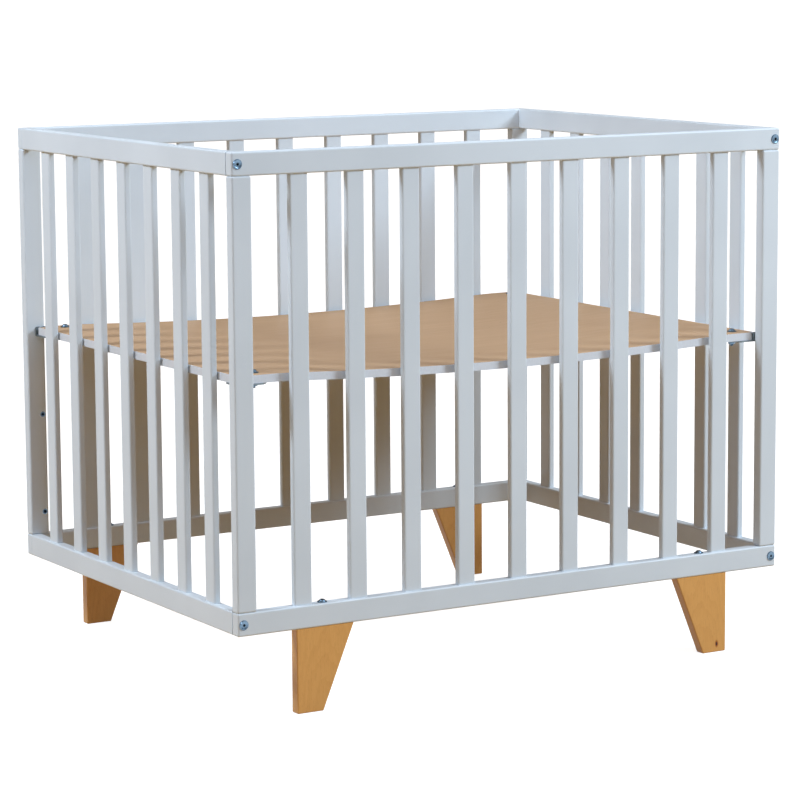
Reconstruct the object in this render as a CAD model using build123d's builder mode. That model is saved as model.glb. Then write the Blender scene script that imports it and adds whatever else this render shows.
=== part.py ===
"""A slatted wooden playpen crib with a height-adjustable base board on four plank feet.

Millimetres, +Z up, +X along the long side, front at -Y. The origin is on the floor at the middle of
the crib. The front and back panels run the full width, and the side panels fit between them.
"""

import os

from build123d import *

# Overall sizes
width = 980
depth = 750
frame_height = 707
foot_height = 128

# Frame members: rails and posts are cut from one stock, slats from a thinner one
stock = 19
rail_height = 35
post_width = 32
slat_width = 30
slat_thickness = 11
edge_round = 3
long_slat_count = 9
side_slat_count = 7
slat_tenon = 10
post_end_round = 2.5
glue_gap = 0.1

# Feet
foot_stock = 18
foot_top_length = 97
foot_bottom_length = 44
foot_inset = 98
foot_edge_round = 2
foot_bolt_from_outer_edge = 48

# Dowels, all alike
dowel_radius = 3
dowel_length = 24
dowel_end_chamfer = 0.75
dowel_hole_spare = 0.5
post_dowel_places = (9, 23)
corner_dowel_offset = 11
foot_dowel_reach = 30

# M6 hardware
thread_radius = 3
thread_hole_radius = 3.05
clearance_radius = 3.5
corner_bolt_length = 60
corner_bolt_head_radius = 7.5
corner_bolt_rim_height = 1
corner_bolt_dome_height = 1
corner_bolt_dome_radius = 7
socket_across_flats = 4
socket_depth_share = 0.8
barrel_nut_radius = 5
barrel_nut_length = 15
barrel_nut_from_face = 50
barrel_hole_spare = 1
driver_slot_width = 1.5
insert_radius = 4.5
insert_length = 12
foot_bolt_length = 60
bracket_bolt_length = 14
button_head_radius = 5.5
button_head_height = 3.3
flange_radius = 7.5
flange_height = 1.5
small_screw_rim_height = 0.5
small_screw_dome_radius = 5.2
nut_across_flats = 10
nut_height = 5

# Base board
board_left_gap = 16.5
board_right_gap = 28.5
board_front_gap = 20.5
board_back_gap = 20
board_thickness = 12
board_end_height = 380.5
board_sag = 10.5
board_sag_start = 90
board_blend_radius = 800
band_thickness = 1
notch_length = 36.5
notch_width = 29
board_screw_from_end = 56
board_screw_from_face = 47
board_screw_length = 24
board_hole_radius = 3.3

# Height positions of the base: how far above the frame's underside its bracket bolts sit
height_positions = (375, 235, 72)
insert_from_end = 25

# Base brackets
bracket_thickness = 2.5
bracket_post_gap = 0.4
ear_width = 20
ear_rise = 15
plate_length = 53
plate_width = 40
plate_corner_round = 6
plate_corner_cut = 10
ear_corner_round = 3
slot_radius = 3.4

# Heights and centre lines that follow from those
frame_top = foot_height + frame_height
bottom_rail_top = foot_height + rail_height
top_rail_bottom = frame_top - rail_height
long_panel_y = (depth - stock) / 2
side_panel_x = (width - stock) / 2
inner_y = depth / 2 - stock
bolt_x = side_panel_x
board_top = foot_height + board_end_height
board_underside = board_top - board_thickness
plate_underside = board_underside - bracket_thickness
bracket_bolt_z = foot_height + height_positions[0]
head_seat_y = inner_y - 2 * bracket_post_gap - bracket_thickness
barrel_y = depth / 2 - barrel_nut_from_face
slat_length = top_rail_bottom - bottom_rail_top + 2 * slat_tenon

long_gap = (width - 2 * post_width - long_slat_count * slat_width) / (long_slat_count + 1)
side_gap = (depth - 2 * stock - side_slat_count * slat_width) / (side_slat_count + 1)
long_pitch = slat_width + long_gap
side_pitch = slat_width + side_gap
long_slat_xs = [(i - (long_slat_count - 1) / 2) * long_pitch for i in range(long_slat_count)]
side_slat_ys = [(i - (side_slat_count - 1) / 2) * side_pitch for i in range(side_slat_count)]

ends = (-1, 1)
long_sides = {"front": -1, "back": 1}
short_sides = {"left": -1, "right": 1}
rail_levels = {"bottom": foot_height, "top": top_rail_bottom}
corners = [(sx, sy) for sx in ends for sy in ends]
post_dowel_xs = [s * (width / 2 - p) for s in ends for p in post_dowel_places]
foot_bolt_x = width / 2 - foot_inset - foot_bolt_from_outer_edge
foot_dowel_xs = [
    s * (foot_bolt_x + reach) for s in ends for reach in (-foot_dowel_reach, foot_dowel_reach)
]
insert_x = width / 2 - insert_from_end
dowel_depth = dowel_length / 2 + dowel_hole_spare

os.makedirs("parts", exist_ok=True)


def save(piece, name):
    """Label a finished piece and write it as its own STEP file."""
    piece.part.label = name
    export_step(piece.part, f"parts/{name}.step")


def joint_face(level):
    """Height of a rail's face that the slats and posts enter, and the way into the rail."""
    return (bottom_rail_top, -1) if level == "bottom" else (top_rail_bottom, 1)


def long_rail(side, level):
    """Full-width rail of the front or back panel, rounded all round and bored for its joints."""
    y = side * long_panel_y
    face, into = joint_face(level)
    bolt_z = rail_levels[level] + rail_height / 2
    with BuildPart() as rail:
        with BuildSketch(Plane.XY.offset(rail_levels[level])):
            with Locations((0, y)):
                Rectangle(width, stock)
        extrude(amount=rail_height)
        fillet(rail.edges(), edge_round)
        with BuildSketch(Plane.XY.offset(face)):
            with Locations(*[(x, y) for x in long_slat_xs]):
                RectangleRounded(slat_width + glue_gap, slat_thickness + glue_gap, edge_round)
        extrude(amount=into * (slat_tenon + glue_gap), mode=Mode.SUBTRACT)
        with BuildSketch(Plane.XY.offset(face)):
            with Locations(*[(x, y) for x in post_dowel_xs]):
                Circle(dowel_radius + glue_gap / 2)
        extrude(amount=into * dowel_depth, mode=Mode.SUBTRACT)
        with BuildSketch(Plane.XZ.offset(-y)):
            with Locations((-bolt_x, bolt_z), (bolt_x, bolt_z)):
                Circle(clearance_radius)
        extrude(amount=stock, both=True, mode=Mode.SUBTRACT)
        with BuildSketch(Plane.XZ.offset(-side * inner_y)):
            dowel_z = bolt_z + into * corner_dowel_offset
            with Locations((-bolt_x, dowel_z), (bolt_x, dowel_z)):
                Circle(dowel_radius + glue_gap / 2)
        extrude(amount=-side * dowel_depth, mode=Mode.SUBTRACT)
        if level == "bottom":
            with BuildSketch(Plane.XY.offset(foot_height)):
                with Locations((-foot_bolt_x, y), (foot_bolt_x, y)):
                    Circle(clearance_radius)
            extrude(amount=rail_height, mode=Mode.SUBTRACT)
            with BuildSketch(Plane.XY.offset(foot_height)):
                with Locations(*[(x, y) for x in foot_dowel_xs]):
                    Circle(dowel_radius + glue_gap / 2)
            extrude(amount=dowel_depth, mode=Mode.SUBTRACT)
    return rail


def side_rail(side, level):
    """Rail of a side panel, between the long rails, bored at its ends for bolts and dowels."""
    x = side * side_panel_x
    length = 2 * inner_y
    face, into = joint_face(level)
    bolt_z = rail_levels[level] + rail_height / 2
    bolt_hole_depth = corner_bolt_length - stock + dowel_hole_spare
    with BuildPart() as rail:
        with BuildSketch(Plane.XY.offset(rail_levels[level])):
            with Locations((x, 0)):
                Rectangle(stock, length)
        extrude(amount=rail_height)
        fillet(rail.edges().filter_by(Axis.Y), edge_round)
        with BuildSketch(Plane.XY.offset(face)):
            with Locations(*[(x, y) for y in side_slat_ys]):
                RectangleRounded(slat_thickness + glue_gap, slat_width + glue_gap, edge_round)
        extrude(amount=into * (slat_tenon + glue_gap), mode=Mode.SUBTRACT)
        for end in ends:
            with BuildSketch(Plane.XZ.offset(-end * inner_y)):
                with Locations((x, bolt_z)):
                    Circle(clearance_radius)
            extrude(amount=end * bolt_hole_depth, mode=Mode.SUBTRACT)
            with BuildSketch(Plane.XZ.offset(-end * inner_y)):
                with Locations((x, bolt_z + into * corner_dowel_offset)):
                    Circle(dowel_radius + glue_gap / 2)
            extrude(amount=end * dowel_depth, mode=Mode.SUBTRACT)
        with BuildSketch(Plane.XY.offset(rail_levels[level])):
            with Locations((x, -barrel_y), (x, barrel_y)):
                Circle(barrel_nut_radius + glue_gap)
        extrude(
            amount=(rail_height + barrel_nut_length) / 2 + barrel_hole_spare,
            mode=Mode.SUBTRACT,
        )
    return rail


def corner_post(side, end):
    """Post with eased ends between the long rails, bored for the base's threaded inserts."""
    x = end * (width - post_width) / 2
    y = side * long_panel_y
    dowel_xs = [end * (width / 2 - place) for place in post_dowel_places]
    with BuildPart() as post:
        with BuildSketch(Plane.XY.offset(bottom_rail_top)):
            with Locations((x, y)):
                RectangleRounded(post_width, stock, edge_round)
        extrude(amount=top_rail_bottom - bottom_rail_top)
        fillet(post.faces().filter_by(Axis.Z).edges(), post_end_round)
        for level, way in ((bottom_rail_top, 1), (top_rail_bottom, -1)):
            with BuildSketch(Plane.XY.offset(level)):
                with Locations(*[(dowel_x, y) for dowel_x in dowel_xs]):
                    Circle(dowel_radius + glue_gap / 2)
            extrude(amount=way * dowel_depth, mode=Mode.SUBTRACT)
        with BuildSketch(Plane.XZ.offset(-side * inner_y)):
            with Locations(*[(end * insert_x, foot_height + z) for z in height_positions]):
                Circle(insert_radius + glue_gap / 2)
        extrude(amount=-side * (bracket_bolt_length + dowel_hole_spare), mode=Mode.SUBTRACT)
    return post


def slat(x, y, along_x, along_y):
    """One slat with its rounded long edges, let into the rails at both ends."""
    with BuildPart() as piece:
        with BuildSketch(Plane.XY.offset(bottom_rail_top - slat_tenon)):
            with Locations((x, y)):
                RectangleRounded(along_x, along_y, edge_round)
        extrude(amount=slat_length)
    return piece


def foot(side, end):
    """Tapered plank foot: its outer edge is upright and its inner edge slants in as it goes down."""
    outer = end * (width / 2 - foot_inset)
    y = side * long_panel_y
    with BuildPart() as plank:
        with BuildSketch(Plane.XZ.offset(-y)):
            with BuildLine():
                Polyline(
                    (outer, 0),
                    (outer, foot_height),
                    (outer - end * foot_top_length, foot_height),
                    (outer - end * foot_bottom_length, 0),
                    close=True,
                )
            make_face()
        extrude(amount=foot_stock / 2, both=True)
        top_face = plank.faces().sort_by(Axis.Z)[-1]
        fillet([e for e in plank.edges() if e not in top_face.edges()], foot_edge_round)
        with BuildSketch(Plane.XY.offset(foot_height)):
            with Locations((end * foot_bolt_x, y)):
                Circle(insert_radius + glue_gap / 2)
        extrude(amount=-(foot_bolt_length - rail_height + dowel_hole_spare), mode=Mode.SUBTRACT)
        with BuildSketch(Plane.XY.offset(foot_height)):
            with Locations(*[(dowel_x, y) for dowel_x in foot_dowel_xs if dowel_x * end > 0]):
                Circle(dowel_radius + glue_gap / 2)
        extrude(amount=-dowel_depth, mode=Mode.SUBTRACT)
    return plank


def board_outline():
    """The board's plan, a rectangle notched at its corners to clear the brackets' ears."""
    left = -width / 2 + board_left_gap
    right = width / 2 - board_right_gap
    front = -depth / 2 + board_front_gap
    back = depth / 2 - board_back_gap
    with BuildSketch() as outline:
        with Locations(((left + right) / 2, (front + back) / 2)):
            Rectangle(right - left, back - front)
        with Locations(*[(sx * width / 2, sy * depth / 2) for sx, sy in corners]):
            Rectangle(2 * notch_length, 2 * notch_width, mode=Mode.SUBTRACT)
    return outline


def sagging_slab():
    """A slab of the board's thickness, level over the brackets and bowed down between them."""
    end_x = width / 2
    bow_x = width / 2 - board_sag_start
    with BuildPart() as slab:
        with BuildSketch(Plane.XZ):
            with BuildLine():
                Line((-end_x, board_top), (-bow_x, board_top))
                ThreePointArc((-bow_x, board_top), (0, board_top - board_sag), (bow_x, board_top))
                Line((bow_x, board_top), (end_x, board_top))
                Line((end_x, board_top), (end_x, board_underside))
                Line((end_x, board_underside), (bow_x, board_underside))
                ThreePointArc(
                    (bow_x, board_underside),
                    (0, board_underside - board_sag),
                    (-bow_x, board_underside),
                )
                Line((-bow_x, board_underside), (-end_x, board_underside))
                Line((-end_x, board_underside), (-end_x, board_top))
            profile = make_face()
            fillet(
                [v for v in profile.vertices() if abs(abs(v.X) - bow_x) < 1],
                board_blend_radius,
            )
        extrude(amount=depth / 2, both=True)
    return slab


def socket_screw(length, rim_radius, rim_height, dome_radius, dome_height):
    """M6 screw along Z whose domed hex-socket head stands with its flat rim on Z = 0."""
    top = rim_height + dome_height
    with BuildPart() as screw:
        with BuildSketch(Plane.XZ):
            with BuildLine():
                Polyline(
                    (0, top),
                    (0, -length),
                    (thread_radius, -length),
                    (thread_radius, 0),
                    (rim_radius, 0),
                    (rim_radius, rim_height),
                    (dome_radius, rim_height),
                )
                TangentArc((0, top), (dome_radius, rim_height), tangent=(1, 0))
            make_face()
        revolve(axis=Axis.Z)
        with BuildSketch(Plane.XY.offset(top)):
            RegularPolygon(socket_across_flats / 2, 6, major_radius=False)
        extrude(amount=-socket_depth_share * top, mode=Mode.SUBTRACT)
    return screw


def copies(one, locations):
    """A group of separate copies of one piece, such as all of the crib's identical screws."""
    with BuildPart() as group:
        with Locations(*locations):
            add(one.part)
    return group


# Frame: rails, posts and slats
for side_name, side in long_sides.items():
    for level in rail_levels:
        save(long_rail(side, level), f"{side_name}_{level}_rail")
    for end_name, end in short_sides.items():
        save(corner_post(side, end), f"{side_name}_{end_name}_post")
    for number, slat_x in enumerate(long_slat_xs, 1):
        piece = slat(slat_x, side * long_panel_y, slat_width, slat_thickness)
        save(piece, f"{side_name}_slat_{number}")

for side_name, side in short_sides.items():
    for level in rail_levels:
        save(side_rail(side, level), f"{side_name}_{level}_rail")
    for number, slat_y in enumerate(side_slat_ys, 1):
        piece = slat(side * side_panel_x, slat_y, slat_thickness, slat_width)
        save(piece, f"{side_name}_slat_{number}")

for side_name, side in long_sides.items():
    for end_name, end in short_sides.items():
        save(foot(side, end), f"foot_{side_name}_{end_name}")

# Base board and the plastic band glued round its edge
outline = board_outline()
slab = sagging_slab()
board_screw_x = width / 2 - board_screw_from_end
board_screw_y = depth / 2 - board_screw_from_face

with BuildPart() as base_board:
    with BuildSketch(Plane.XY):
        add(outline.sketch)
        offset(amount=-band_thickness, kind=Kind.INTERSECTION, mode=Mode.REPLACE)
        with Locations(*[(sx * board_screw_x, sy * board_screw_y) for sx, sy in corners]):
            Circle(board_hole_radius, mode=Mode.SUBTRACT)
    extrude(amount=frame_top)
    add(slab.part, mode=Mode.INTERSECT)
save(base_board, "base_board")

with BuildPart() as base_edge_band:
    with BuildSketch(Plane.XY):
        add(outline.sketch)
        offset(
            outline.sketch, amount=-band_thickness, kind=Kind.INTERSECTION, mode=Mode.SUBTRACT
        )
    extrude(amount=frame_top)
    add(slab.part, mode=Mode.INTERSECT)
save(base_edge_band, "base_edge_band")

# Base brackets: an ear, slotted from its top edge, stands on a plate that lies under the board
with BuildPart() as front_right_bracket:
    ear_y = -inner_y + bracket_post_gap
    ear_left = insert_x - ear_width / 2
    plate_right = ear_left + ear_width
    with BuildSketch(Plane.XY.offset(plate_underside)):
        with Locations((plate_right, ear_y)):
            Rectangle(plate_length, plate_width, align=(Align.MAX, Align.MIN))
    extrude(amount=bracket_thickness)
    inner_edges = front_right_bracket.edges().filter_by(Axis.Z).group_by(Axis.Y)[-1]
    fillet(inner_edges, plate_corner_round)
    free_corner = front_right_bracket.edges().filter_by(Axis.Z).group_by(Axis.Y)[0].sort_by(Axis.X)[0]
    chamfer(free_corner, plate_corner_cut)
    with BuildSketch(Plane.XY.offset(plate_underside)):
        with Locations((ear_left, ear_y)):
            Rectangle(ear_width, bracket_thickness, align=(Align.MIN, Align.MIN))
    extrude(amount=ear_rise)
    ear_top = front_right_bracket.edges().filter_by(Axis.Y).group_by(Axis.Z)[-1]
    fillet(ear_top, ear_corner_round)
    with BuildSketch(Plane.XZ.offset(-ear_y)):
        with Locations((insert_x, bracket_bolt_z)):
            Circle(slot_radius)
            Rectangle(2 * slot_radius, 2 * ear_rise, align=(Align.CENTER, Align.MIN))
    extrude(amount=-bracket_thickness, mode=Mode.SUBTRACT)
    with BuildSketch(Plane.XY.offset(plate_underside)):
        with Locations((board_screw_x, -board_screw_y)):
            Circle(board_hole_radius)
    extrude(amount=bracket_thickness, mode=Mode.SUBTRACT)

with BuildPart() as base_brackets:
    add(front_right_bracket.part)
    mirror(about=Plane.YZ)
    mirror(about=Plane.XZ)
save(base_brackets, "base_brackets")

# Screws, nuts, inserts and dowels
bolt_zs = [level + rail_height / 2 for level in rail_levels.values()]

corner_bolt = socket_screw(
    corner_bolt_length,
    corner_bolt_head_radius,
    corner_bolt_rim_height,
    corner_bolt_dome_radius,
    corner_bolt_dome_height,
)
save(
    copies(
        corner_bolt,
        [
            Location((sx * bolt_x, sy * depth / 2, z), (-sy * 90, 0, 0))
            for sx, sy in corners
            for z in bolt_zs
        ],
    ),
    "corner_bolts",
)

with BuildPart() as barrel_nut:
    Cylinder(barrel_nut_radius, barrel_nut_length)
    with BuildSketch(Plane.XZ):
        Circle(thread_hole_radius)
    extrude(amount=2 * barrel_nut_radius, both=True, mode=Mode.SUBTRACT)
    with BuildSketch(Plane.XY.offset(-barrel_nut_length / 2)):
        Rectangle(2 * barrel_nut_radius, driver_slot_width)
    extrude(amount=driver_slot_width, mode=Mode.SUBTRACT)
save(
    copies(
        barrel_nut,
        [Location((sx * bolt_x, sy * barrel_y, z)) for sx, sy in corners for z in bolt_zs],
    ),
    "corner_barrel_nuts",
)

foot_bolt = socket_screw(
    foot_bolt_length, flange_radius, flange_height, button_head_radius, button_head_height
)
save(
    copies(
        foot_bolt,
        [Location((sx * foot_bolt_x, sy * long_panel_y, bottom_rail_top)) for sx, sy in corners],
    ),
    "foot_bolts",
)

with BuildPart() as insert:
    with BuildSketch():
        Circle(insert_radius)
        Circle(thread_hole_radius, mode=Mode.SUBTRACT)
    extrude(amount=-insert_length)
foot_inserts = [
    Location((sx * foot_bolt_x, sy * long_panel_y, foot_height)) for sx, sy in corners
]
height_inserts = [
    Location((sx * insert_x, sy * inner_y, foot_height + z), (sy * 90, 0, 0))
    for sx, sy in corners
    for z in height_positions
]
save(copies(insert, foot_inserts + height_inserts), "threaded_inserts")

bracket_bolt = socket_screw(
    bracket_bolt_length,
    button_head_radius,
    small_screw_rim_height,
    small_screw_dome_radius,
    button_head_height,
)
save(
    copies(
        bracket_bolt,
        [
            Location((sx * insert_x, sy * head_seat_y, bracket_bolt_z), (sy * 90, 0, 0))
            for sx, sy in corners
        ],
    ),
    "bracket_bolts",
)

board_screw = socket_screw(
    board_screw_length,
    button_head_radius,
    small_screw_rim_height,
    small_screw_dome_radius,
    button_head_height,
)
screw_places = [(sx * board_screw_x, sy * board_screw_y) for sx, sy in corners]
save(
    copies(board_screw, [Location((x, y, board_top + flange_height)) for x, y in screw_places]),
    "board_screws",
)

with BuildPart() as washer:
    with BuildSketch():
        Circle(flange_radius)
        Circle(board_hole_radius, mode=Mode.SUBTRACT)
    extrude(amount=flange_height)
save(
    copies(washer, [Location((x, y, board_top)) for x, y in screw_places]),
    "board_washers",
)

with BuildPart() as nut:
    with BuildSketch():
        RegularPolygon(nut_across_flats / 2, 6, major_radius=False)
        Circle(thread_hole_radius, mode=Mode.SUBTRACT)
    extrude(amount=-nut_height)
save(
    copies(nut, [Location((x, y, plate_underside)) for x, y in screw_places]),
    "board_nuts",
)

with BuildPart() as dowel:
    Cylinder(dowel_radius, dowel_length)
    chamfer(dowel.edges(), dowel_end_chamfer)
post_dowels = [
    Location((x, sy * long_panel_y, z))
    for x in post_dowel_xs
    for sy in ends
    for z in (bottom_rail_top, top_rail_bottom)
]
foot_dowels = [
    Location((x, sy * long_panel_y, foot_height)) for x in foot_dowel_xs for sy in ends
]
corner_dowels = [
    Location((sx * bolt_x, sy * inner_y, bolt_z + way * corner_dowel_offset), (90, 0, 0))
    for sx, sy in corners
    for bolt_z, way in zip(bolt_zs, ends)
]
save(copies(dowel, post_dowels + foot_dowels + corner_dowels), "wood_dowels")
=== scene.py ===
"""Looks for a slatted playpen crib: finishes for its wooden members and detailed metal fittings.

Metres, in the frame's own axes: +X along the long side, the front at -Y, +Z up, origin on the floor.
"""

import math

import bmesh
import bpy
from bpy.props import FloatProperty, FloatVectorProperty, IntProperty, PointerProperty
from mathutils import Matrix, Vector


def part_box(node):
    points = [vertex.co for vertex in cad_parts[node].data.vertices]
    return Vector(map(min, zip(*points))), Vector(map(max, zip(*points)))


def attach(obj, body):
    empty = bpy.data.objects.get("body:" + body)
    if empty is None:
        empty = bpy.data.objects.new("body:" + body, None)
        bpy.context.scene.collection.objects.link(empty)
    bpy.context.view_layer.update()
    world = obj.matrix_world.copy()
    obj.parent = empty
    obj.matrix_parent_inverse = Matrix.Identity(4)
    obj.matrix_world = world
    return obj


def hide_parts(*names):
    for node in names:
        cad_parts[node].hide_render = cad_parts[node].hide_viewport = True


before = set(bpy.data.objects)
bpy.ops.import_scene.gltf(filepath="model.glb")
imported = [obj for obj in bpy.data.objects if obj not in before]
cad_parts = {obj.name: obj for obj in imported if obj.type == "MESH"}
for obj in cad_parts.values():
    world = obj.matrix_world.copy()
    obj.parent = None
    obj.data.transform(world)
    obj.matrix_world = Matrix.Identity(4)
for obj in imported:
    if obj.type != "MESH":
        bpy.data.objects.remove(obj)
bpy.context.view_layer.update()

bl_info = {
    "name": "Slatted playpen crib",
    "version": (1, 0, 0),
    "blender": (4, 5, 0),
    "location": "View3D > Sidebar > Crib",
    "description": "Wood, lacquer and zinc finishes, threaded fittings and a studio for a playpen crib",
    "category": "Add Mesh",
}

MM = 0.001
# Points closer than this are one point, and a screw clears its hole by this much
NEAR = 1e-6
FIT = 0.05 * MM
# The Mix node keeps one set of sockets for each kind of data: these are the colour ones
MIX_FACTOR, MIX_A, MIX_B, MIX_RESULT = 0, 6, 7, 2
# Metric thread: depth, length of a flank and width of the flat crest, as shares of the pitch
THREAD_DEPTH, THREAD_FLANK, THREAD_CREST = 0.613, 5 / 16, 1 / 8
# How far along a domed crown, from rim to socket, its points lie
CROWN_STEPS = (0, 0.3, 0.6, 0.85, 1)
# The wave texture turns through this many radians in one unit of its own space
WAVE_TURN = 20

# Where each softbox stands in metres, its side in metres, its power in watts and its tint
SOFTBOXES = {
    "front_right_softbox": ((2.3, -2.9, 2.6), 1.3, 120, "dceeff"),
    "left_softbox": ((-2.6, 0.4, 2.6), 0.7, 64, "e0eeff"),
    "front_left_fill": ((-1.6, -3.6, 2.4), 1.5, 16, "80c0ff"),
}

LONG_SIDES = ("front", "back")
SHORT_SIDES = ("left", "right")
LEVELS = ("top", "bottom")
CORNERS = [(sx, sy) for sx in (-1, 1) for sy in (-1, 1)]


def linear(hex_colour):
    """The linear red, green and blue of an sRGB colour written as six hex digits."""
    channels = [int(hex_colour[i : i + 2], 16) / 255 for i in (0, 2, 4)]
    return [c / 12.92 if c <= 0.04045 else ((c + 0.055) / 1.055) ** 2.4 for c in channels]


def colour_property(name, description, hex_colour):
    """A colour that a user can change, given as sRGB hex."""
    return FloatVectorProperty(
        name=name,
        description=description,
        subtype="COLOR",
        size=3,
        min=0,
        max=1,
        default=linear(hex_colour),
    )


def length_property(name, description, millimetres):
    """A size that a user can change, given in millimetres."""
    return FloatProperty(
        name=name,
        description=description,
        unit="LENGTH",
        precision=5,
        min=0,
        default=millimetres * MM,
    )


# ---------------------------------------------------------------- what a user can change


class CribLacquer(bpy.types.PropertyGroup):
    """The white lacquer on the rails, posts and slats."""

    light: colour_property("White", "The lacquer where it lies thickest", "e1eaf0")
    thin: colour_property("Thin white", "The lacquer where it lies thinnest", "dbe4ea")
    pore_length: length_property("Pore length", "Length of the wood pores under the film", 14)
    pore_width: length_property("Pore width", "Spacing of the wood pores under the film", 0.9)
    peel: length_property("Orange peel", "Spacing of the ripples left by the spray", 3)
    patch: length_property("Film patches", "Size of the slow changes in film thickness", 160)


class CribBeech(bpy.types.PropertyGroup):
    """The varnished beech of the feet."""

    early: colour_property("Early wood", "Pale wood between the ring lines", "e7ad62")
    late: colour_property("Late wood", "The darker line that ends each ring", "d8994f")
    fleck: colour_property("Ray flecks", "Short dark dashes along the grain", "b57236")
    knot: colour_property("Knot", "Heart of the pin knot", "40190a")
    knot_ring: colour_property("Knot ring", "Rusty ring round the pin knot", "b06222")
    ring: length_property("Ring width", "Width of one growth ring", 5)
    pith: length_property("Pith distance", "From the plank's middle to the tree's centre", 58)
    fleck_length: length_property("Fleck length", "Length of a ray fleck", 7)
    fleck_width: length_property("Fleck width", "Width of a ray fleck", 1)
    knot_radius: length_property("Knot radius", "Radius of the pin knot", 2.3)
    knot_in: length_property("Knot in", "From the foot's upright edge to the knot", 17)
    knot_up: length_property("Knot up", "From the floor to the knot", 14)
    drift_length: length_property("Grain drift length", "Length over which the grain wanders", 90)
    drift_width: length_property("Grain drift width", "Width over which the grain wanders", 26)
    drift: length_property("Grain drift", "How far the grain wanders", 14)
    fibre_length: length_property("Fibre length", "Length of a bundle of fibres", 60)
    fibre_width: length_property("Fibre width", "Width of a bundle of fibres", 0.9)
    pin_pore_length: length_property("Pin pore length", "Length of a pore on a raw dowel", 5)
    pin_pore_width: length_property("Pin pore width", "Width of a pore on a raw dowel", 0.6)
    grain_tilt: FloatProperty(
        name="Grain tilt",
        description="How far the grain leans through the plank's thickness",
        subtype="ANGLE",
        default=math.radians(7),
    )


class CribBoard(bpy.types.PropertyGroup):
    """The faced base board and its edge band."""

    face: colour_property("Board face", "Ground colour of the board's facing", "c6a27c")
    streak: colour_property("Board streaks", "Fine darker streaks along the board", "ba9671")
    speck: colour_property("Specks", "Stray dark specks in the facing", "5a3f2a")
    band: colour_property("Edge band", "The plastic band round the board", "dfe4ea")
    streak_length: length_property("Streak length", "Length of a streak", 180)
    streak_width: length_property("Streak width", "Width of a streak", 2)
    cloud_length: length_property("Cloud length", "Length of a slow change in the print", 260)
    cloud_width: length_property("Cloud width", "Width of a slow change in the print", 60)
    scrape_height: length_property("Scrape height", "Height of a scraper mark on the edge band", 6)
    scrape_width: length_property("Scrape width", "Width of a scraper mark on the edge band", 0.8)
    speck_spacing: length_property("Speck spacing", "Spacing of the places where a speck may lie", 16)


class CribMetal(bpy.types.PropertyGroup):
    """Zinc plating, and the sizes of the fittings' fine shapes."""

    zinc: colour_property("Zinc", "Bright zinc plating", "748b9e")
    passive: colour_property("Passivation", "Faint tint of the passivated plating", "677d90")
    dull: colour_property("Dull plating", "The duller barrel plating of the pressed brackets", "80888b")
    spangle: length_property("Spangle", "Size of the plating's cloudy patches", 2.2)
    thread_radius: length_property("Thread radius", "Outside radius of the M6 thread", 3)
    pitch: length_property("Thread pitch", "Rise of the M6 thread in one turn", 1)
    turn_steps: IntProperty(
        name="Steps in a turn",
        description="How many flat steps make one turn of a thread or a head",
        default=24,
        min=12,
        max=96,
    )
    socket: length_property("Socket", "Hex socket across its flats", 4)
    socket_mouth: length_property("Socket mouth", "Radius of the flat ring round the hex socket", 2.7)
    rim_round: length_property("Rim rounding", "Rounding of the heads' outer rims", 0.35)
    thin_rim: length_property("Thin rim", "Height of the rim under the small crowns", 0.6)
    small_crown: length_property("Small crown", "Height of the bracket bolts' heads", 3.8)
    flange: length_property("Flange", "Height of the flange under a foot bolt's button head", 1.5)
    button_radius: length_property("Button head", "Radius of a foot bolt's head on its flange", 5.5)
    corner_length: length_property("Corner bolt", "Length of a corner bolt under its head", 60)
    corner_thread: length_property("Corner thread", "Threaded length of a corner bolt", 24)
    foot_thread: length_property("Foot thread", "Threaded length of a foot bolt", 26)
    bracket_length: length_property("Bracket bolt", "Length of a bracket bolt under its head", 14)
    bracket_thread: length_property("Bracket thread", "Threaded length of a bracket bolt", 10)
    board_thread: length_property("Board thread", "Threaded length of a board screw", 18)
    washer_radius: length_property("Washer", "Outside radius of a washer", 7.5)
    washer_bore: length_property("Washer bore", "Radius of the hole in a washer", 3.3)
    nut_flats: length_property("Nut", "Hexagon nut across its flats", 10)
    nut_ease: length_property("Nut edges", "Bevel round a nut's flat ends", 0.45)
    nut_sink: length_property("Nut countersink", "Depth of the countersink in a nut's bore", 0.5)


class CribStage(bpy.types.PropertyGroup):
    """The camera, the lights and the floor."""

    camera_place: FloatVectorProperty(
        name="Camera",
        description="Where the camera stands",
        subtype="TRANSLATION",
        unit="LENGTH",
        default=(-2.5449, -4.3036, 1.1275),
    )
    camera_turn: FloatVectorProperty(
        name="Camera turn",
        description="The camera's tilt down, its roll, and its turn towards the right",
        subtype="EULER",
        unit="ROTATION",
        default=(math.radians(-8.362), math.radians(-0.398), math.radians(-30.691)),
    )
    camera_lens: FloatProperty(
        name="Lens",
        description="Focal length of the camera, in millimetres on a 36 mm sensor",
        default=139.73,
        min=20,
    )
    floor_radius: length_property("Floor radius", "How far the paper floor reaches", 120000)
    floor: colour_property("Floor", "The pale paper on the floor", "c8c8c8")
    paper_fibre: length_property("Paper fibre", "Size of the paper's faint mottling", 12)
    floor_bounce: colour_property("Floor bounce", "The light that the floor throws back", "9e762a")
    sky: colour_property("Ceiling", "Tint of the light from the studio's ceiling", "fff8f4")
    sky_strength: FloatProperty(
        name="Ceiling strength",
        description="How bright the studio's ceiling is",
        default=0.63,
        min=0,
    )
    sky_from: FloatProperty(
        name="Ceiling edge",
        description="Height on the unit sphere where the ceiling starts",
        default=0.3,
    )
    sky_full: FloatProperty(
        name="Ceiling full",
        description="Height on the unit sphere where the ceiling reaches its strength",
        default=0.38,
    )
    floor_glow: FloatProperty(
        name="Floor glow",
        description="How brightly the paper is lit from behind",
        default=0.85,
        min=0,
    )


# ---------------------------------------------------------------- material kit


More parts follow.
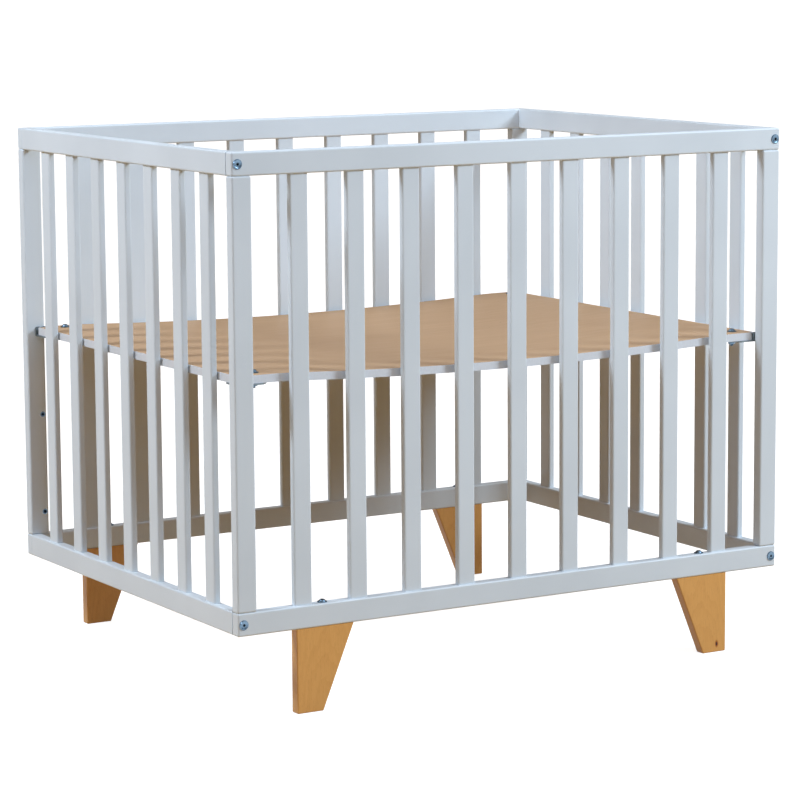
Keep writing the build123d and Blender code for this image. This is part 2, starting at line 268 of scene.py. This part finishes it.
def add(tree, kind, inputs=None, **settings):
    """Adds a node. An input is a number or colour, or the output of another node that is linked to it."""
    made = tree.nodes.new("ShaderNode" + kind)
    for name, value in settings.items():
        setattr(made, name, value)
    for socket, value in (inputs or {}).items():
        if isinstance(value, bpy.types.NodeSocket):
            tree.links.new(value, made.inputs[socket])
        else:
            made.inputs[socket].default_value = value
    return made


def opaque(rgb):
    """A colour with full opacity, as colour sockets take it."""
    return (*rgb, 1)


def new_material(name, **constants):
    """A material with its surface shader, whose constants stand on the shader's own sockets."""
    material = bpy.data.materials.new(name)
    material.use_nodes = True
    tree = material.node_tree
    surface = tree.nodes["Principled BSDF"]
    for socket, value in constants.items():
        surface.inputs[socket.replace("_", " ")].default_value = value
    return material, tree, surface


def measured(tree, along=None, across=None, axis=None, centre=(0, 0, 0)):
    """Coordinates on the object, counted in grain lengths along one axis and widths across it."""
    scale = Vector((1, 1, 1)) / across
    if axis is not None:
        scale["XYZ".index(axis)] = 1 / along
    place = add(tree, "TexCoord").outputs["Object"]
    shift = [-c * s for c, s in zip(centre, scale)]
    return add(
        tree, "Mapping", {"Vector": place, "Scale": scale, "Location": shift}
    ).outputs["Vector"]


def noise(tree, place, detail, roughness=0.5, output="Fac"):
    """Soft noise whose grains are about one unit of the place it is given."""
    inputs = {"Vector": place, "Scale": 1.0, "Detail": detail, "Roughness": roughness}
    return add(tree, "TexNoise", inputs).outputs[output]


def bump(tree, height, strength, depth, under=None):
    """A normal raised by a height, on top of another normal if there is one."""
    inputs = {"Height": height, "Strength": strength, "Distance": depth}
    if under is not None:
        inputs["Normal"] = under
    return add(tree, "Bump", inputs).outputs["Normal"]


def dress(tree, surface, tone, roughness, normal):
    """Links a finish's colour, roughness and relief to its surface shader."""
    for socket, value in (("Base Color", tone), ("Roughness", roughness), ("Normal", normal)):
        tree.links.new(value, surface.inputs[socket])


def spread(tree, value, low, high, to_low=0.0, to_high=1.0):
    """A value stretched from one range to another and kept inside it."""
    ranges = {"From Min": low, "From Max": high, "To Min": to_low, "To Max": to_high}
    return add(tree, "MapRange", {"Value": value, **ranges}).outputs["Result"]


def blended(tree, share, first, second):
    """The first colour turning into the second as the share goes from 0 to 1."""
    inputs = {MIX_FACTOR: share, MIX_A: first, MIX_B: second}
    return add(tree, "Mix", inputs, data_type="RGBA").outputs[MIX_RESULT]


# ---------------------------------------------------------------- materials


def satin_lacquer(look, axis):
    """Sprayed satin white lacquer on beech: an even cool white whose soft sheen shows a little grain."""
    material, tree, surface = new_material(
        f"satin_white_lacquer_{axis.lower()}", IOR=1.45, Coat_Weight=0.05, Coat_Roughness=0.3
    )
    pores = noise(tree, measured(tree, look.pore_length, look.pore_width, axis), 3.0, 0.55)
    peel = noise(tree, measured(tree, across=look.peel), 1.0)
    film = noise(tree, measured(tree, across=look.patch), 2.0)
    tone = blended(tree, spread(tree, film, 0.35, 0.65), opaque(look.light), opaque(look.thin))
    ripple = bump(tree, peel, 0.25, 0.05 * MM)
    grain = bump(tree, pores, 0.3, 0.06 * MM, ripple)
    dress(tree, surface, tone, spread(tree, pores, 0.3, 0.7, 0.36, 0.46), grain)
    return material


def varnished_beech(look, name, centre, knot=None):
    """Satin varnished beech, sawn flat: warm honey wood with broad ring bands and short dark flecks."""
    material, tree, surface = new_material(
        f"varnished_beech_{name}", IOR=1.38, Coat_Weight=0.08, Coat_Roughness=0.25
    )
    place = add(tree, "TexCoord").outputs["Object"]
    slow = measured(tree, look.drift_length, look.drift_width, "Z", centre)
    drift = noise(tree, slow, 2.0, output="Color")
    wander = add(tree, "VectorMath", {0: drift, 1: (0.5, 0.5, 0.5)}, operation="SUBTRACT").outputs["Vector"]
    bent = add(
        tree, "VectorMath", {0: wander, 1: (look.drift,) * 3, 2: place}, operation="MULTIPLY_ADD"
    ).outputs["Vector"]
    pith = Vector(centre) + Vector((0, look.pith, 0))
    to_pith = add(
        tree, "Mapping", {"Vector": bent, "Location": -pith, "Rotation": (look.grain_tilt, 0, 0)}
    ).outputs["Vector"]
    rings = add(
        tree,
        "TexWave",
        {"Vector": to_pith, "Scale": math.tau / WAVE_TURN / look.ring, "Distortion": 0.0},
        wave_type="RINGS",
        rings_direction="Z",
        wave_profile="SAW",
    ).outputs["Fac"]
    fibres = noise(tree, measured(tree, look.fibre_length, look.fibre_width, "Z"), 3.0)
    flecks = noise(tree, measured(tree, look.fleck_length, look.fleck_width, "Z"), 0.0)
    # The ring bands come first, then darker fibres over them, then the ray flecks
    tone = blended(tree, spread(tree, rings, 0.35, 1.0, 0.0, 0.3), opaque(look.early), opaque(look.late))
    tone = blended(tree, spread(tree, fibres, 0.4, 0.75, 0.0, 0.45), tone, opaque(look.late))
    tone = blended(tree, spread(tree, flecks, 0.62, 0.76, 0.0, 0.16), tone, opaque(look.fleck))
    if knot is not None:
        # Longer along the grain than across it, with a rusty ring round a dark heart
        flat = Vector((1, 1, 0.6))
        from_knot = add(
            tree, "Mapping", {"Vector": bent, "Scale": flat, "Location": -Vector(knot) * flat}
        ).outputs["Vector"]
        far = add(tree, "VectorMath", {0: from_knot}, operation="LENGTH").outputs["Value"]
        ring = spread(tree, far, look.knot_radius * 1.9, look.knot_radius * 1.1)
        heart = spread(tree, far, look.knot_radius, look.knot_radius * 0.7)
        tone = blended(tree, ring, tone, opaque(look.knot_ring))
        tone = blended(tree, heart, tone, opaque(look.knot))
    pores = bump(tree, fibres, 0.25, 0.08 * MM)
    dress(tree, surface, tone, spread(tree, fibres, 0.3, 0.7, 0.34, 0.46), pores)
    return material


def faced_board(look):
    """Board faced with a printed wood paper: flat brown with fine lengthwise streaks and little sheen."""
    material, tree, surface = new_material("wood_paper_faced_board", IOR=1.48)
    streaks = noise(tree, measured(tree, look.streak_length, look.streak_width, "X"), 4.0, 0.6)
    clouds = noise(tree, measured(tree, look.cloud_length, look.cloud_width, "X"), 2.0)
    share = add(
        tree,
        "Math",
        {0: spread(tree, streaks, 0.35, 0.72, 0.0, 0.75), 1: spread(tree, clouds, 0.4, 0.7, 0.0, 0.3)},
        operation="ADD",
    ).outputs["Value"]
    ground = blended(tree, share, opaque(look.face), opaque(look.streak))
    # Each cell of the pattern draws a random number: only the few highest hold a speck
    dots = add(tree, "TexVoronoi", {"Vector": measured(tree, across=look.speck_spacing), "Scale": 1.0})
    draw = add(tree, "SeparateColor", {0: dots.outputs["Color"]}).outputs[0]
    rare = spread(tree, draw, 0.96, 0.97)
    near = spread(tree, dots.outputs["Distance"], 0.1, 0.05)
    here = add(tree, "Math", {0: rare, 1: near}, operation="MULTIPLY").outputs["Value"]
    tone = blended(tree, here, ground, opaque(look.speck))
    relief = bump(tree, streaks, 0.2, 0.05 * MM)
    dress(tree, surface, tone, spread(tree, streaks, 0.3, 0.7, 0.5, 0.62), relief)
    return material


def edge_band_plastic(look):
    """Ironed-on ABS edge band: clean white with the faint scraper marks that trimming leaves."""
    material, tree, surface = new_material("white_abs_edge_band", IOR=1.53)
    scrapes = noise(tree, measured(tree, look.scrape_height, look.scrape_width, "Z"), 2.0)
    shade = [c * 0.93 for c in look.band]
    tone = blended(tree, spread(tree, scrapes, 0.4, 0.7), opaque(look.band), opaque(shade))
    marks = bump(tree, scrapes, 0.2, 0.04 * MM)
    dress(tree, surface, tone, spread(tree, scrapes, 0.3, 0.7, 0.38, 0.5), marks)
    return material


def zinc_plate(look, name, bright, tinted, rough_low, rough_high):
    """Zinc-plated steel: pale grey metal with cloudy patches that blur its reflections unevenly."""
    material, tree, surface = new_material(name, Metallic=1.0)
    clouds = noise(tree, measured(tree, across=look.spangle), 3.0)
    tone = blended(tree, spread(tree, clouds, 0.4, 0.65), opaque(bright), opaque(tinted))
    skin = bump(tree, clouds, 0.15, 0.03 * MM)
    dress(tree, surface, tone, spread(tree, clouds, 0.3, 0.7, rough_low, rough_high), skin)
    return material


def turned_steel(look):
    """The one turned-steel material that all the bright fittings share."""
    name = "zinc_plated_turned_steel"
    return bpy.data.materials.get(name) or zinc_plate(look, name, look.zinc, look.passive, 0.26, 0.4)


def raw_beech(look):
    """Raw turned beech of the dowels: pale, dry and matt, with pores along each pin."""
    material, tree, surface = new_material("raw_turned_beech", Roughness=0.72, IOR=1.5)
    pores = noise(tree, measured(tree, look.pin_pore_length, look.pin_pore_width, "Z"), 2.0)
    pale = [min(1, c * 1.15) for c in look.early]
    tone = blended(tree, spread(tree, pores, 0.45, 0.7), opaque(pale), opaque(look.late))
    tree.links.new(tone, surface.inputs["Base Color"])
    tree.links.new(bump(tree, pores, 0.3, 0.08 * MM), surface.inputs["Normal"])
    return material


def seamless_paper(look):
    """Backlit white studio paper: it glows where it is seen, and throws back a warmer, dimmer light."""
    material, tree, surface = new_material("backlit_paper")
    tree.nodes.remove(surface)
    fibres = noise(tree, measured(tree, across=look.paper_fibre), 2.0)
    face = blended(tree, fibres, opaque(look.floor), opaque([c * 0.98 for c in look.floor]))
    paper = add(tree, "BsdfDiffuse", {"Color": face})
    glow = add(tree, "Emission", {"Strength": look.floor_glow})
    shown = add(tree, "AddShader", {0: paper.outputs[0], 1: glow.outputs[0]})
    bounce = add(tree, "BsdfDiffuse", {"Color": opaque(look.floor_bounce)})
    lighting = add(tree, "LightPath").outputs["Is Diffuse Ray"]
    both = add(tree, "MixShader", {0: lighting, 1: shown.outputs[0], 2: bounce.outputs[0]})
    tree.links.new(both.outputs[0], tree.nodes["Material Output"].inputs["Surface"])
    return material


def finish_nodes(names, material):
    """Gives CAD nodes a material through their own material slots."""
    for name in names:
        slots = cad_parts[name].data.materials
        slots.clear()
        slots.append(material)


# ---------------------------------------------------------------- mesh kit


def middle(node):
    """Centre of a CAD node's box."""
    low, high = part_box(node)
    return (low + high) / 2


def edges_of(elements):
    """The edges among these bmesh elements."""
    return [e for e in elements if isinstance(e, bmesh.types.BMEdge)]


def verts_of(elements):
    """The vertices among these bmesh elements."""
    return [v for v in elements if isinstance(v, bmesh.types.BMVert)]


def open_line(shape, points):
    """Joins points in the XZ plane into a line of edges, and returns all of it."""
    verts = [shape.verts.new((x, 0, z)) for x, z in points]
    edges = [shape.edges.new(pair) for pair in zip(verts, verts[1:])]
    return verts + edges


def turned(shape, points, steps):
    """Turns a line of (radius, height) points once round Z."""
    bmesh.ops.spin(
        shape,
        geom=open_line(shape, points),
        cent=(0, 0, 0),
        axis=(0, 0, 1),
        angle=math.tau,
        steps=steps,
        use_merge=True,
    )


def level_edge(edge):
    """Whether an edge lies level."""
    return abs(edge.verts[0].co.z - edge.verts[1].co.z) < NEAR


def rim_loop(shape, height, low_radius, high_radius):
    """The open edges at one height whose ends lie between two radii."""

    def on_loop(vert):
        return abs(vert.co.z - height) < NEAR and low_radius < vert.co.xy.length < high_radius

    return [e for e in shape.edges if e.is_boundary and all(on_loop(v) for v in e.verts)]


def hex_loop(shape, across_flats, height, steps):
    """A hexagon of edges at one height, divided to match a turned rim."""
    made = bmesh.ops.create_circle(
        shape, segments=6, radius=across_flats / math.sqrt(3), matrix=Matrix.Translation((0, 0, height))
    )
    sides = list({e for v in made["verts"] for e in v.link_edges})
    bmesh.ops.subdivide_edges(shape, edges=sides, cuts=steps // 6 - 1)
    return [e for e in shape.edges if e.is_wire]


def add_socket(shape, rim, across_flats, height, depth, steps):
    """Closes a head's open rim with a flat ring, a hex socket and the cone its drill left."""
    mouth = hex_loop(shape, across_flats, height, steps)
    bmesh.ops.bridge_loops(shape, edges=rim + mouth)
    wall = bmesh.ops.extrude_edge_only(shape, edges=mouth)["geom"]
    bmesh.ops.translate(shape, verts=verts_of(wall), vec=(0, 0, -depth))
    floor = bmesh.ops.extrude_edge_only(shape, edges=edges_of(wall))["geom"]
    tip = Matrix.Translation((0, 0, height - depth))
    bmesh.ops.scale(shape, verts=verts_of(floor), vec=(0.02, 0.02, 1), space=tip.inverted())
    bmesh.ops.translate(shape, verts=verts_of(floor), vec=(0, 0, -across_flats / 6))
    bmesh.ops.edgeloop_fill(shape, edges=edges_of(floor))


def add_thread(shape, look, low, high):
    """A closed rod with a real helical M6 thread between two heights."""
    steps, pitch = look.turn_steps, look.pitch
    root = look.thread_radius - THREAD_DEPTH * pitch
    flank, crest = THREAD_FLANK * pitch, THREAD_CREST * pitch
    turns = math.ceil((high - low) / pitch) + 2
    start = low - pitch
    profile = [
        (root, start),
        (root, start + 2 * crest),
        (look.thread_radius, start + 2 * crest + flank),
        (look.thread_radius, start + 3 * crest + flank),
        (root, start + pitch),
    ]
    before = set(shape.verts)
    bmesh.ops.spin(
        shape,
        geom=open_line(shape, profile),
        cent=(0, 0, 0),
        axis=(0, 0, 1),
        dvec=(0, 0, pitch / steps),
        angle=math.tau * turns,
        steps=steps * turns,
        use_merge=False,
    )
    bmesh.ops.remove_doubles(shape, verts=[v for v in shape.verts if v not in before], dist=NEAR)
    for height, way in ((low, -1), (high, 1)):
        rod = [v for v in shape.verts if v not in before]
        faces = {f for v in rod for f in v.link_faces}
        edges = {e for v in rod for e in v.link_edges}
        cut = bmesh.ops.bisect_plane(
            shape,
            geom=[*rod, *edges, *faces],
            dist=NEAR,
            plane_co=(0, 0, height),
            plane_no=(0, 0, way),
            clear_outer=True,
        )
        rim = [e for e in edges_of(cut["geom_cut"]) if e.is_valid]
        bmesh.ops.edgeloop_fill(shape, edges=rim)


def domed(radius, foot, top, mouth):
    """Crown of a button head, from its rim up to the socket's mouth."""
    return [
        (radius + (mouth - radius) * t, foot + (top - foot) * math.sin(t * math.pi / 2))
        for t in CROWN_STEPS
    ]


def dished(radius, foot, top, mouth):
    """Crown of a flat connector head: a rounded rim, then a shallow dish down to the socket."""
    ease, dish = (top - foot) / 2, (top - foot) * 0.45
    return [
        (radius, foot), (radius - 0.3 * ease, foot + ease), (radius - ease, top),
        (radius * 0.8, top), (radius * 0.7, top - dish), (mouth, top - dish),
    ]


def screw(look, length, thread, rim_radius, rim_height, crown):
    """One M6 screw: a hex-socket head on Z = 0 with its crown, a plain shank and a thread at its end."""
    shape = bmesh.new()
    steps, corner = look.turn_steps, look.rim_round
    shank = look.thread_radius - FIT
    neck = -length + thread
    head = [
        (shank, neck), (shank, 0), (rim_radius - corner / 2, 0), (rim_radius, corner / 2),
        (rim_radius, rim_height - corner), (rim_radius - corner, rim_height), *crown,
    ]
    turned(shape, head, steps)
    mouth, top = crown[-1]
    add_socket(
        shape, rim_loop(shape, top, mouth - FIT, mouth + FIT), look.socket, top, top * 0.8, steps
    )
    bmesh.ops.edgeloop_fill(shape, edges=rim_loop(shape, neck, 0, look.thread_radius))
    add_thread(shape, look, -length, neck + look.pitch / 2)
    return shape


def hex_nut(look, height):
    """A hexagon nut with eased edges and a countersunk bore, standing on Z = 0."""
    shape = bmesh.new()
    outside = hex_loop(shape, look.nut_flats, 0, look.turn_steps)
    raised = bmesh.ops.extrude_edge_only(shape, edges=outside)["geom"]
    bmesh.ops.translate(shape, verts=verts_of(raised), vec=(0, 0, height))
    bore, sink = look.thread_radius + FIT, look.nut_sink
    turned(
        shape,
        [(bore + sink, 0), (bore, sink), (bore, height - sink), (bore + sink, height)],
        look.turn_steps,
    )
    for level, outer in ((0, outside), (height, edges_of(raised))):
        mouth = rim_loop(shape, level, bore, look.nut_flats * 0.45)
        bmesh.ops.bridge_loops(shape, edges=outer + mouth)
    rims = [
        e for e in shape.edges
        if all(v.co.xy.length > look.nut_flats * 0.49 for v in e.verts) and level_edge(e)
    ]
    bmesh.ops.bevel(
        shape, geom=rims, offset=look.nut_ease, offset_type="OFFSET",
        affect="EDGES", segments=2, profile=0.5, material=-1,
    )
    return shape


def washer(look, thick):
    """A flat washer with rounded rims, lying on Z = 0."""
    shape = bmesh.new()
    radius, bore, corner = look.washer_radius, look.washer_bore, look.rim_round
    turned(
        shape,
        [
            (bore, 0), (radius - corner, 0), (radius, corner), (radius, thick - corner),
            (radius - corner, thick), (bore + corner / 2, thick), (bore, thick - corner / 2), (bore, 0),
        ],
        2 * look.turn_steps,
    )
    bmesh.ops.remove_doubles(shape, verts=shape.verts, dist=NEAR)
    return shape


def set_out(one, places):
    """Copies one shape to every place, as a single shape."""
    pattern = bpy.data.meshes.new("pattern")
    one.to_mesh(pattern)
    one.free()
    group = bmesh.new()
    for place in places:
        count = len(group.verts)
        group.from_mesh(pattern)
        group.verts.ensure_lookup_table()
        bmesh.ops.transform(group, matrix=place, verts=group.verts[count:])
    bpy.data.meshes.remove(pattern)
    return group


def finished(name, shape, material, body, node):
    """Makes a shape a zinc-plated piece that rides on its body in place of a CAD node."""
    bmesh.ops.recalc_face_normals(shape, faces=shape.faces)
    mesh = bpy.data.meshes.new(name)
    shape.to_mesh(mesh)
    shape.free()
    mesh.shade_smooth()
    mesh.set_sharp_from_angle(angle=math.radians(32))
    mesh.materials.append(material)
    piece = bpy.data.objects.new(name, mesh)
    bpy.context.scene.collection.objects.link(piece)
    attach(piece, body)
    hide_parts(node)
    return piece


def facing(place, way):
    """A place whose own +Z looks along a direction."""
    return Matrix.Translation(place) @ Vector(way).to_track_quat("Z", "Y").to_matrix().to_4x4()


# ---------------------------------------------------------------- operators


class CRIB_OT_rails(bpy.types.Operator):
    """Lacquer the eight rails, with the grain along each one"""

    bl_idname = "crib.rails"
    bl_label = "Rails"

    def execute(self, context):
        look = context.scene.crib_lacquer
        for sides, axis in ((LONG_SIDES, "X"), (SHORT_SIDES, "Y")):
            names = [f"{side}_{level}_rail" for side in sides for level in LEVELS]
            finish_nodes(names, satin_lacquer(look, axis))
        return {"FINISHED"}


class CRIB_OT_uprights(bpy.types.Operator):
    """Lacquer the posts and slats, with the grain upright"""

    bl_idname = "crib.uprights"
    bl_label = "Posts and slats"

    def execute(self, context):
        names = [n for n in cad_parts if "_slat_" in n or n.endswith("_post")]
        finish_nodes(names, satin_lacquer(context.scene.crib_lacquer, "Z"))
        return {"FINISHED"}


class CRIB_OT_feet(bpy.types.Operator):
    """Varnish the four beech feet, each cut from its own stretch of plank"""

    bl_idname = "crib.feet"
    bl_label = "Feet"

    def execute(self, context):
        look = context.scene.crib_beech
        for side in LONG_SIDES:
            for end in SHORT_SIDES:
                name = f"foot_{side}_{end}"
                low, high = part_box(name)
                knot = None
                if name == "foot_front_right":
                    # A pin knot low down on the front face, near the upright edge
                    knot = (high.x - look.knot_in, low.y, low.z + look.knot_up)
                finish_nodes([name], varnished_beech(look, f"{side}_{end}", (low + high) / 2, knot))
        return {"FINISHED"}


class CRIB_OT_base_board(bpy.types.Operator):
    """Face the base board and band its edges"""

    bl_idname = "crib.base_board"
    bl_label = "Base board"

    def execute(self, context):
        look = context.scene.crib_board
        finish_nodes(["base_board"], faced_board(look))
        finish_nodes(["base_edge_band"], edge_band_plastic(look))
        return {"FINISHED"}


class CRIB_OT_brackets(bpy.types.Operator):
    """Plate the four pressed brackets that carry the base"""

    bl_idname = "crib.brackets"
    bl_label = "Base brackets"

    def execute(self, context):
        look = context.scene.crib_metal
        shade = [c * 0.85 for c in look.dull]
        pressed = zinc_plate(look, "zinc_plated_pressed_steel", look.dull, shade, 0.5, 0.66)
        finish_nodes(["base_brackets"], pressed)
        return {"FINISHED"}


class CRIB_OT_corner_bolts(bpy.types.Operator):
    """Bolts that pull each corner together, with low heads on the front and back rails"""

    bl_idname = "crib.corner_bolts"
    bl_label = "Corner bolts"

    def execute(self, context):
        look = context.scene.crib_metal
        low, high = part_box("corner_bolts")
        rim_radius = high.x - middle("right_top_rail").x
        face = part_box("front_top_rail")[0].y
        head = face - low.y
        crown = dished(rim_radius - 0.4 * MM, head / 2, head, look.socket_mouth)
        one = screw(look, look.corner_length, look.corner_thread, rim_radius, head / 2, crown)
        places = [
            facing((sx * middle("right_top_rail").x, -sy * face, middle(f"front_{level}_rail").z), (0, sy, 0))
            for sx, sy in CORNERS
            for level in LEVELS
        ]
        finished("corner_bolt_set", set_out(one, places), turned_steel(look), "frame", "corner_bolts")
        return {"FINISHED"}


class CRIB_OT_foot_bolts(bpy.types.Operator):
    """Bolts through the bottom rails into the feet"""

    bl_idname = "crib.foot_bolts"
    bl_label = "Foot bolts"

    def execute(self, context):
        look = context.scene.crib_metal
        low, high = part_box("foot_bolts")
        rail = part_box("front_bottom_rail")
        seat = rail[1].z
        rail_y = middle("front_bottom_rail").y
        rim_radius = rail_y - low.y
        crown = domed(look.button_radius, look.flange, high.z - seat, look.socket_mouth)
        one = screw(look, seat - low.z, look.foot_thread, rim_radius, look.flange, crown)
        places = [
            Matrix.Translation((sx * (high.x - rim_radius), sy * rail_y, seat)) for sx, sy in CORNERS
        ]
        finished("foot_bolt_set", set_out(one, places), turned_steel(look), "frame", "foot_bolts")
        return {"FINISHED"}


class CRIB_OT_bracket_bolts(bpy.types.Operator):
    """Short bolts that hold the base at its height in the posts"""

    bl_idname = "crib.bracket_bolts"
    bl_label = "Bracket bolts"

    def execute(self, context):
        look = context.scene.crib_metal
        low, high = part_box("bracket_bolts")
        rim_radius = (high.z - low.z) / 2
        seat = high.y - look.bracket_length
        crown = domed(rim_radius - look.rim_round, look.thin_rim, look.small_crown, look.socket_mouth)
        one = screw(look, look.bracket_length, look.bracket_thread, rim_radius, look.thin_rim, crown)
        places = [
            facing((sx * (high.x - rim_radius), sy * seat, (low.z + high.z) / 2), (0, -sy, 0))
            for sx, sy in CORNERS
        ]
        finished("bracket_bolt_set", set_out(one, places), turned_steel(look), "frame", "bracket_bolts")
        return {"FINISHED"}


class CRIB_OT_board_fixings(bpy.types.Operator):
    """Screws, washers and nuts that clamp the board to its brackets"""

    bl_idname = "crib.board_fixings"
    bl_label = "Board fixings"

    def execute(self, context):
        look = context.scene.crib_metal
        steel = turned_steel(look)
        low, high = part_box("board_screws")
        lying, seat = (corner.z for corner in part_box("board_washers"))
        nut_low, nut_high = (corner.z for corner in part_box("board_nuts"))
        rim_radius = (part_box("bracket_bolts")[1].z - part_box("bracket_bolts")[0].z) / 2

        def at(height):
            """The four fixings' places at one height."""
            x, y = high.x - rim_radius, high.y - rim_radius
            return [Matrix.Translation((sx * x, sy * y, height)) for sx, sy in CORNERS]

        crown = domed(rim_radius - look.rim_round, look.thin_rim, high.z - seat, look.socket_mouth)
        one = screw(look, seat - low.z, look.board_thread, rim_radius, look.thin_rim, crown)
        finished("board_screw_set", set_out(one, at(seat)), steel, "base", "board_screws")
        one = washer(look, seat - lying)
        finished("board_washer_set", set_out(one, at(lying)), steel, "base", "board_washers")
        one = hex_nut(look, nut_high - nut_low)
        finished("board_nut_set", set_out(one, at(nut_low)), steel, "base", "board_nuts")
        return {"FINISHED"}


class CRIB_OT_hidden_fittings(bpy.types.Operator):
    """Plate the barrel nuts and threaded inserts, and turn the beech dowels"""

    bl_idname = "crib.hidden_fittings"
    bl_label = "Hidden fittings"

    def execute(self, context):
        steel = turned_steel(context.scene.crib_metal)
        finish_nodes(["corner_barrel_nuts", "threaded_inserts"], steel)
        finish_nodes(["wood_dowels"], raw_beech(context.scene.crib_beech))
        return {"FINISHED"}


class CRIB_OT_studio(bpy.types.Operator):
    """Set the pale floor, the soft lights and the camera"""

    bl_idname = "crib.studio"
    bl_label = "Studio"

    def execute(self, context):
        look, scene = context.scene.crib_stage, context.scene
        paper = bmesh.new()
        bmesh.ops.create_circle(paper, cap_ends=True, radius=look.floor_radius, segments=64)
        mesh = bpy.data.meshes.new("floor")
        paper.to_mesh(mesh)
        paper.free()
        mesh.materials.append(seamless_paper(look))
        floor = bpy.data.objects.new("floor", mesh)
        scene.collection.objects.link(floor)

        def softbox(name, place, side, power, tint):
            """A square softbox that looks at the middle of the crib."""
            light = bpy.data.lights.new(name, "AREA")
            light.shape, light.size, light.energy, light.color = "SQUARE", side, power, linear(tint)
            lamp = bpy.data.objects.new(name, light)
            lamp.location = place
            lamp.rotation_mode = "QUATERNION"
            lamp.rotation_quaternion = (Vector(place) - middle("base_board")).to_track_quat("Z", "Y")
            scene.collection.objects.link(lamp)

        for name, settings in SOFTBOXES.items():
            softbox(name, *settings)

        world = bpy.data.worlds.new("studio")
        world.use_nodes = True
        scene.world = world
        tree = world.node_tree
        sky = tree.nodes["Background"]
        sky.inputs["Color"].default_value = opaque(look.sky)
        way = add(tree, "TexCoord").outputs["Object"]
        height = add(tree, "SeparateXYZ", {"Vector": way}).outputs["Z"]
        # The studio is dark at the sides: its ceiling starts at this slope and is evenly bright above it
        strength = spread(tree, height, look.sky_from, look.sky_full, 0.0, look.sky_strength)
        tree.links.new(strength, sky.inputs["Strength"])
        white = add(tree, "Background", {"Color": (1, 1, 1, 1), "Strength": 1.0})
        seen = add(tree, "LightPath").outputs["Is Camera Ray"]
        choice = add(tree, "MixShader", {0: seen, 1: sky.outputs[0], 2: white.outputs[0]})
        tree.links.new(choice.outputs[0], tree.nodes["World Output"].inputs["Surface"])
        scene.view_settings.view_transform = "Standard"

        lens = bpy.data.cameras.new("camera")
        lens.lens, lens.sensor_width = look.camera_lens, 36
        lens.clip_start, lens.clip_end = 0.1, 500
        camera = bpy.data.objects.new("camera", lens)
        tilt, roll, turn = look.camera_turn
        camera.location = look.camera_place
        aim = Matrix.Rotation(turn, 3, "Z") @ Matrix.Rotation(math.pi / 2 + tilt, 3, "X")
        camera.rotation_euler = (aim @ Matrix.Rotation(roll, 3, "Z")).to_euler()
        scene.collection.objects.link(camera)
        scene.camera = camera
        return {"FINISHED"}


OPERATORS = (
    CRIB_OT_rails,
    CRIB_OT_uprights,
    CRIB_OT_feet,
    CRIB_OT_base_board,
    CRIB_OT_brackets,
    CRIB_OT_corner_bolts,
    CRIB_OT_foot_bolts,
    CRIB_OT_bracket_bolts,
    CRIB_OT_board_fixings,
    CRIB_OT_hidden_fittings,
    CRIB_OT_studio,
)
GROUPS = {
    "crib_lacquer": CribLacquer,
    "crib_beech": CribBeech,
    "crib_board": CribBoard,
    "crib_metal": CribMetal,
    "crib_stage": CribStage,
}


class CRIB_PT_sidebar(bpy.types.Panel):
    """Lists the crib's sizes, colours and pieces"""

    bl_label = "Playpen crib"
    bl_idname = "CRIB_PT_sidebar"
    bl_space_type = "VIEW_3D"
    bl_region_type = "UI"
    bl_category = "Crib"

    def draw(self, context):
        for name, group in GROUPS.items():
            box = self.layout.box()
            box.label(text=group.__doc__)
            for field in group.__annotations__:
                box.prop(getattr(context.scene, name), field)
        for operator in OPERATORS:
            self.layout.operator(operator.bl_idname)


def register():
    """Registers the classes and puts the settings on the scene."""
    for cls in (*GROUPS.values(), *OPERATORS, CRIB_PT_sidebar):
        bpy.utils.register_class(cls)
    for name, group in GROUPS.items():
        setattr(bpy.types.Scene, name, PointerProperty(type=group))


def unregister():
    """Takes the settings and classes away again."""
    for name in GROUPS:
        delattr(bpy.types.Scene, name)
    for cls in reversed((*GROUPS.values(), *OPERATORS, CRIB_PT_sidebar)):
        bpy.utils.unregister_class(cls)


def main():
    """Builds the crib's looks and its studio."""
    register()
    for operator in OPERATORS:
        group, name = operator.bl_idname.split(".")
        getattr(getattr(bpy.ops, group), name)()


if __name__ == "__main__":
    main()
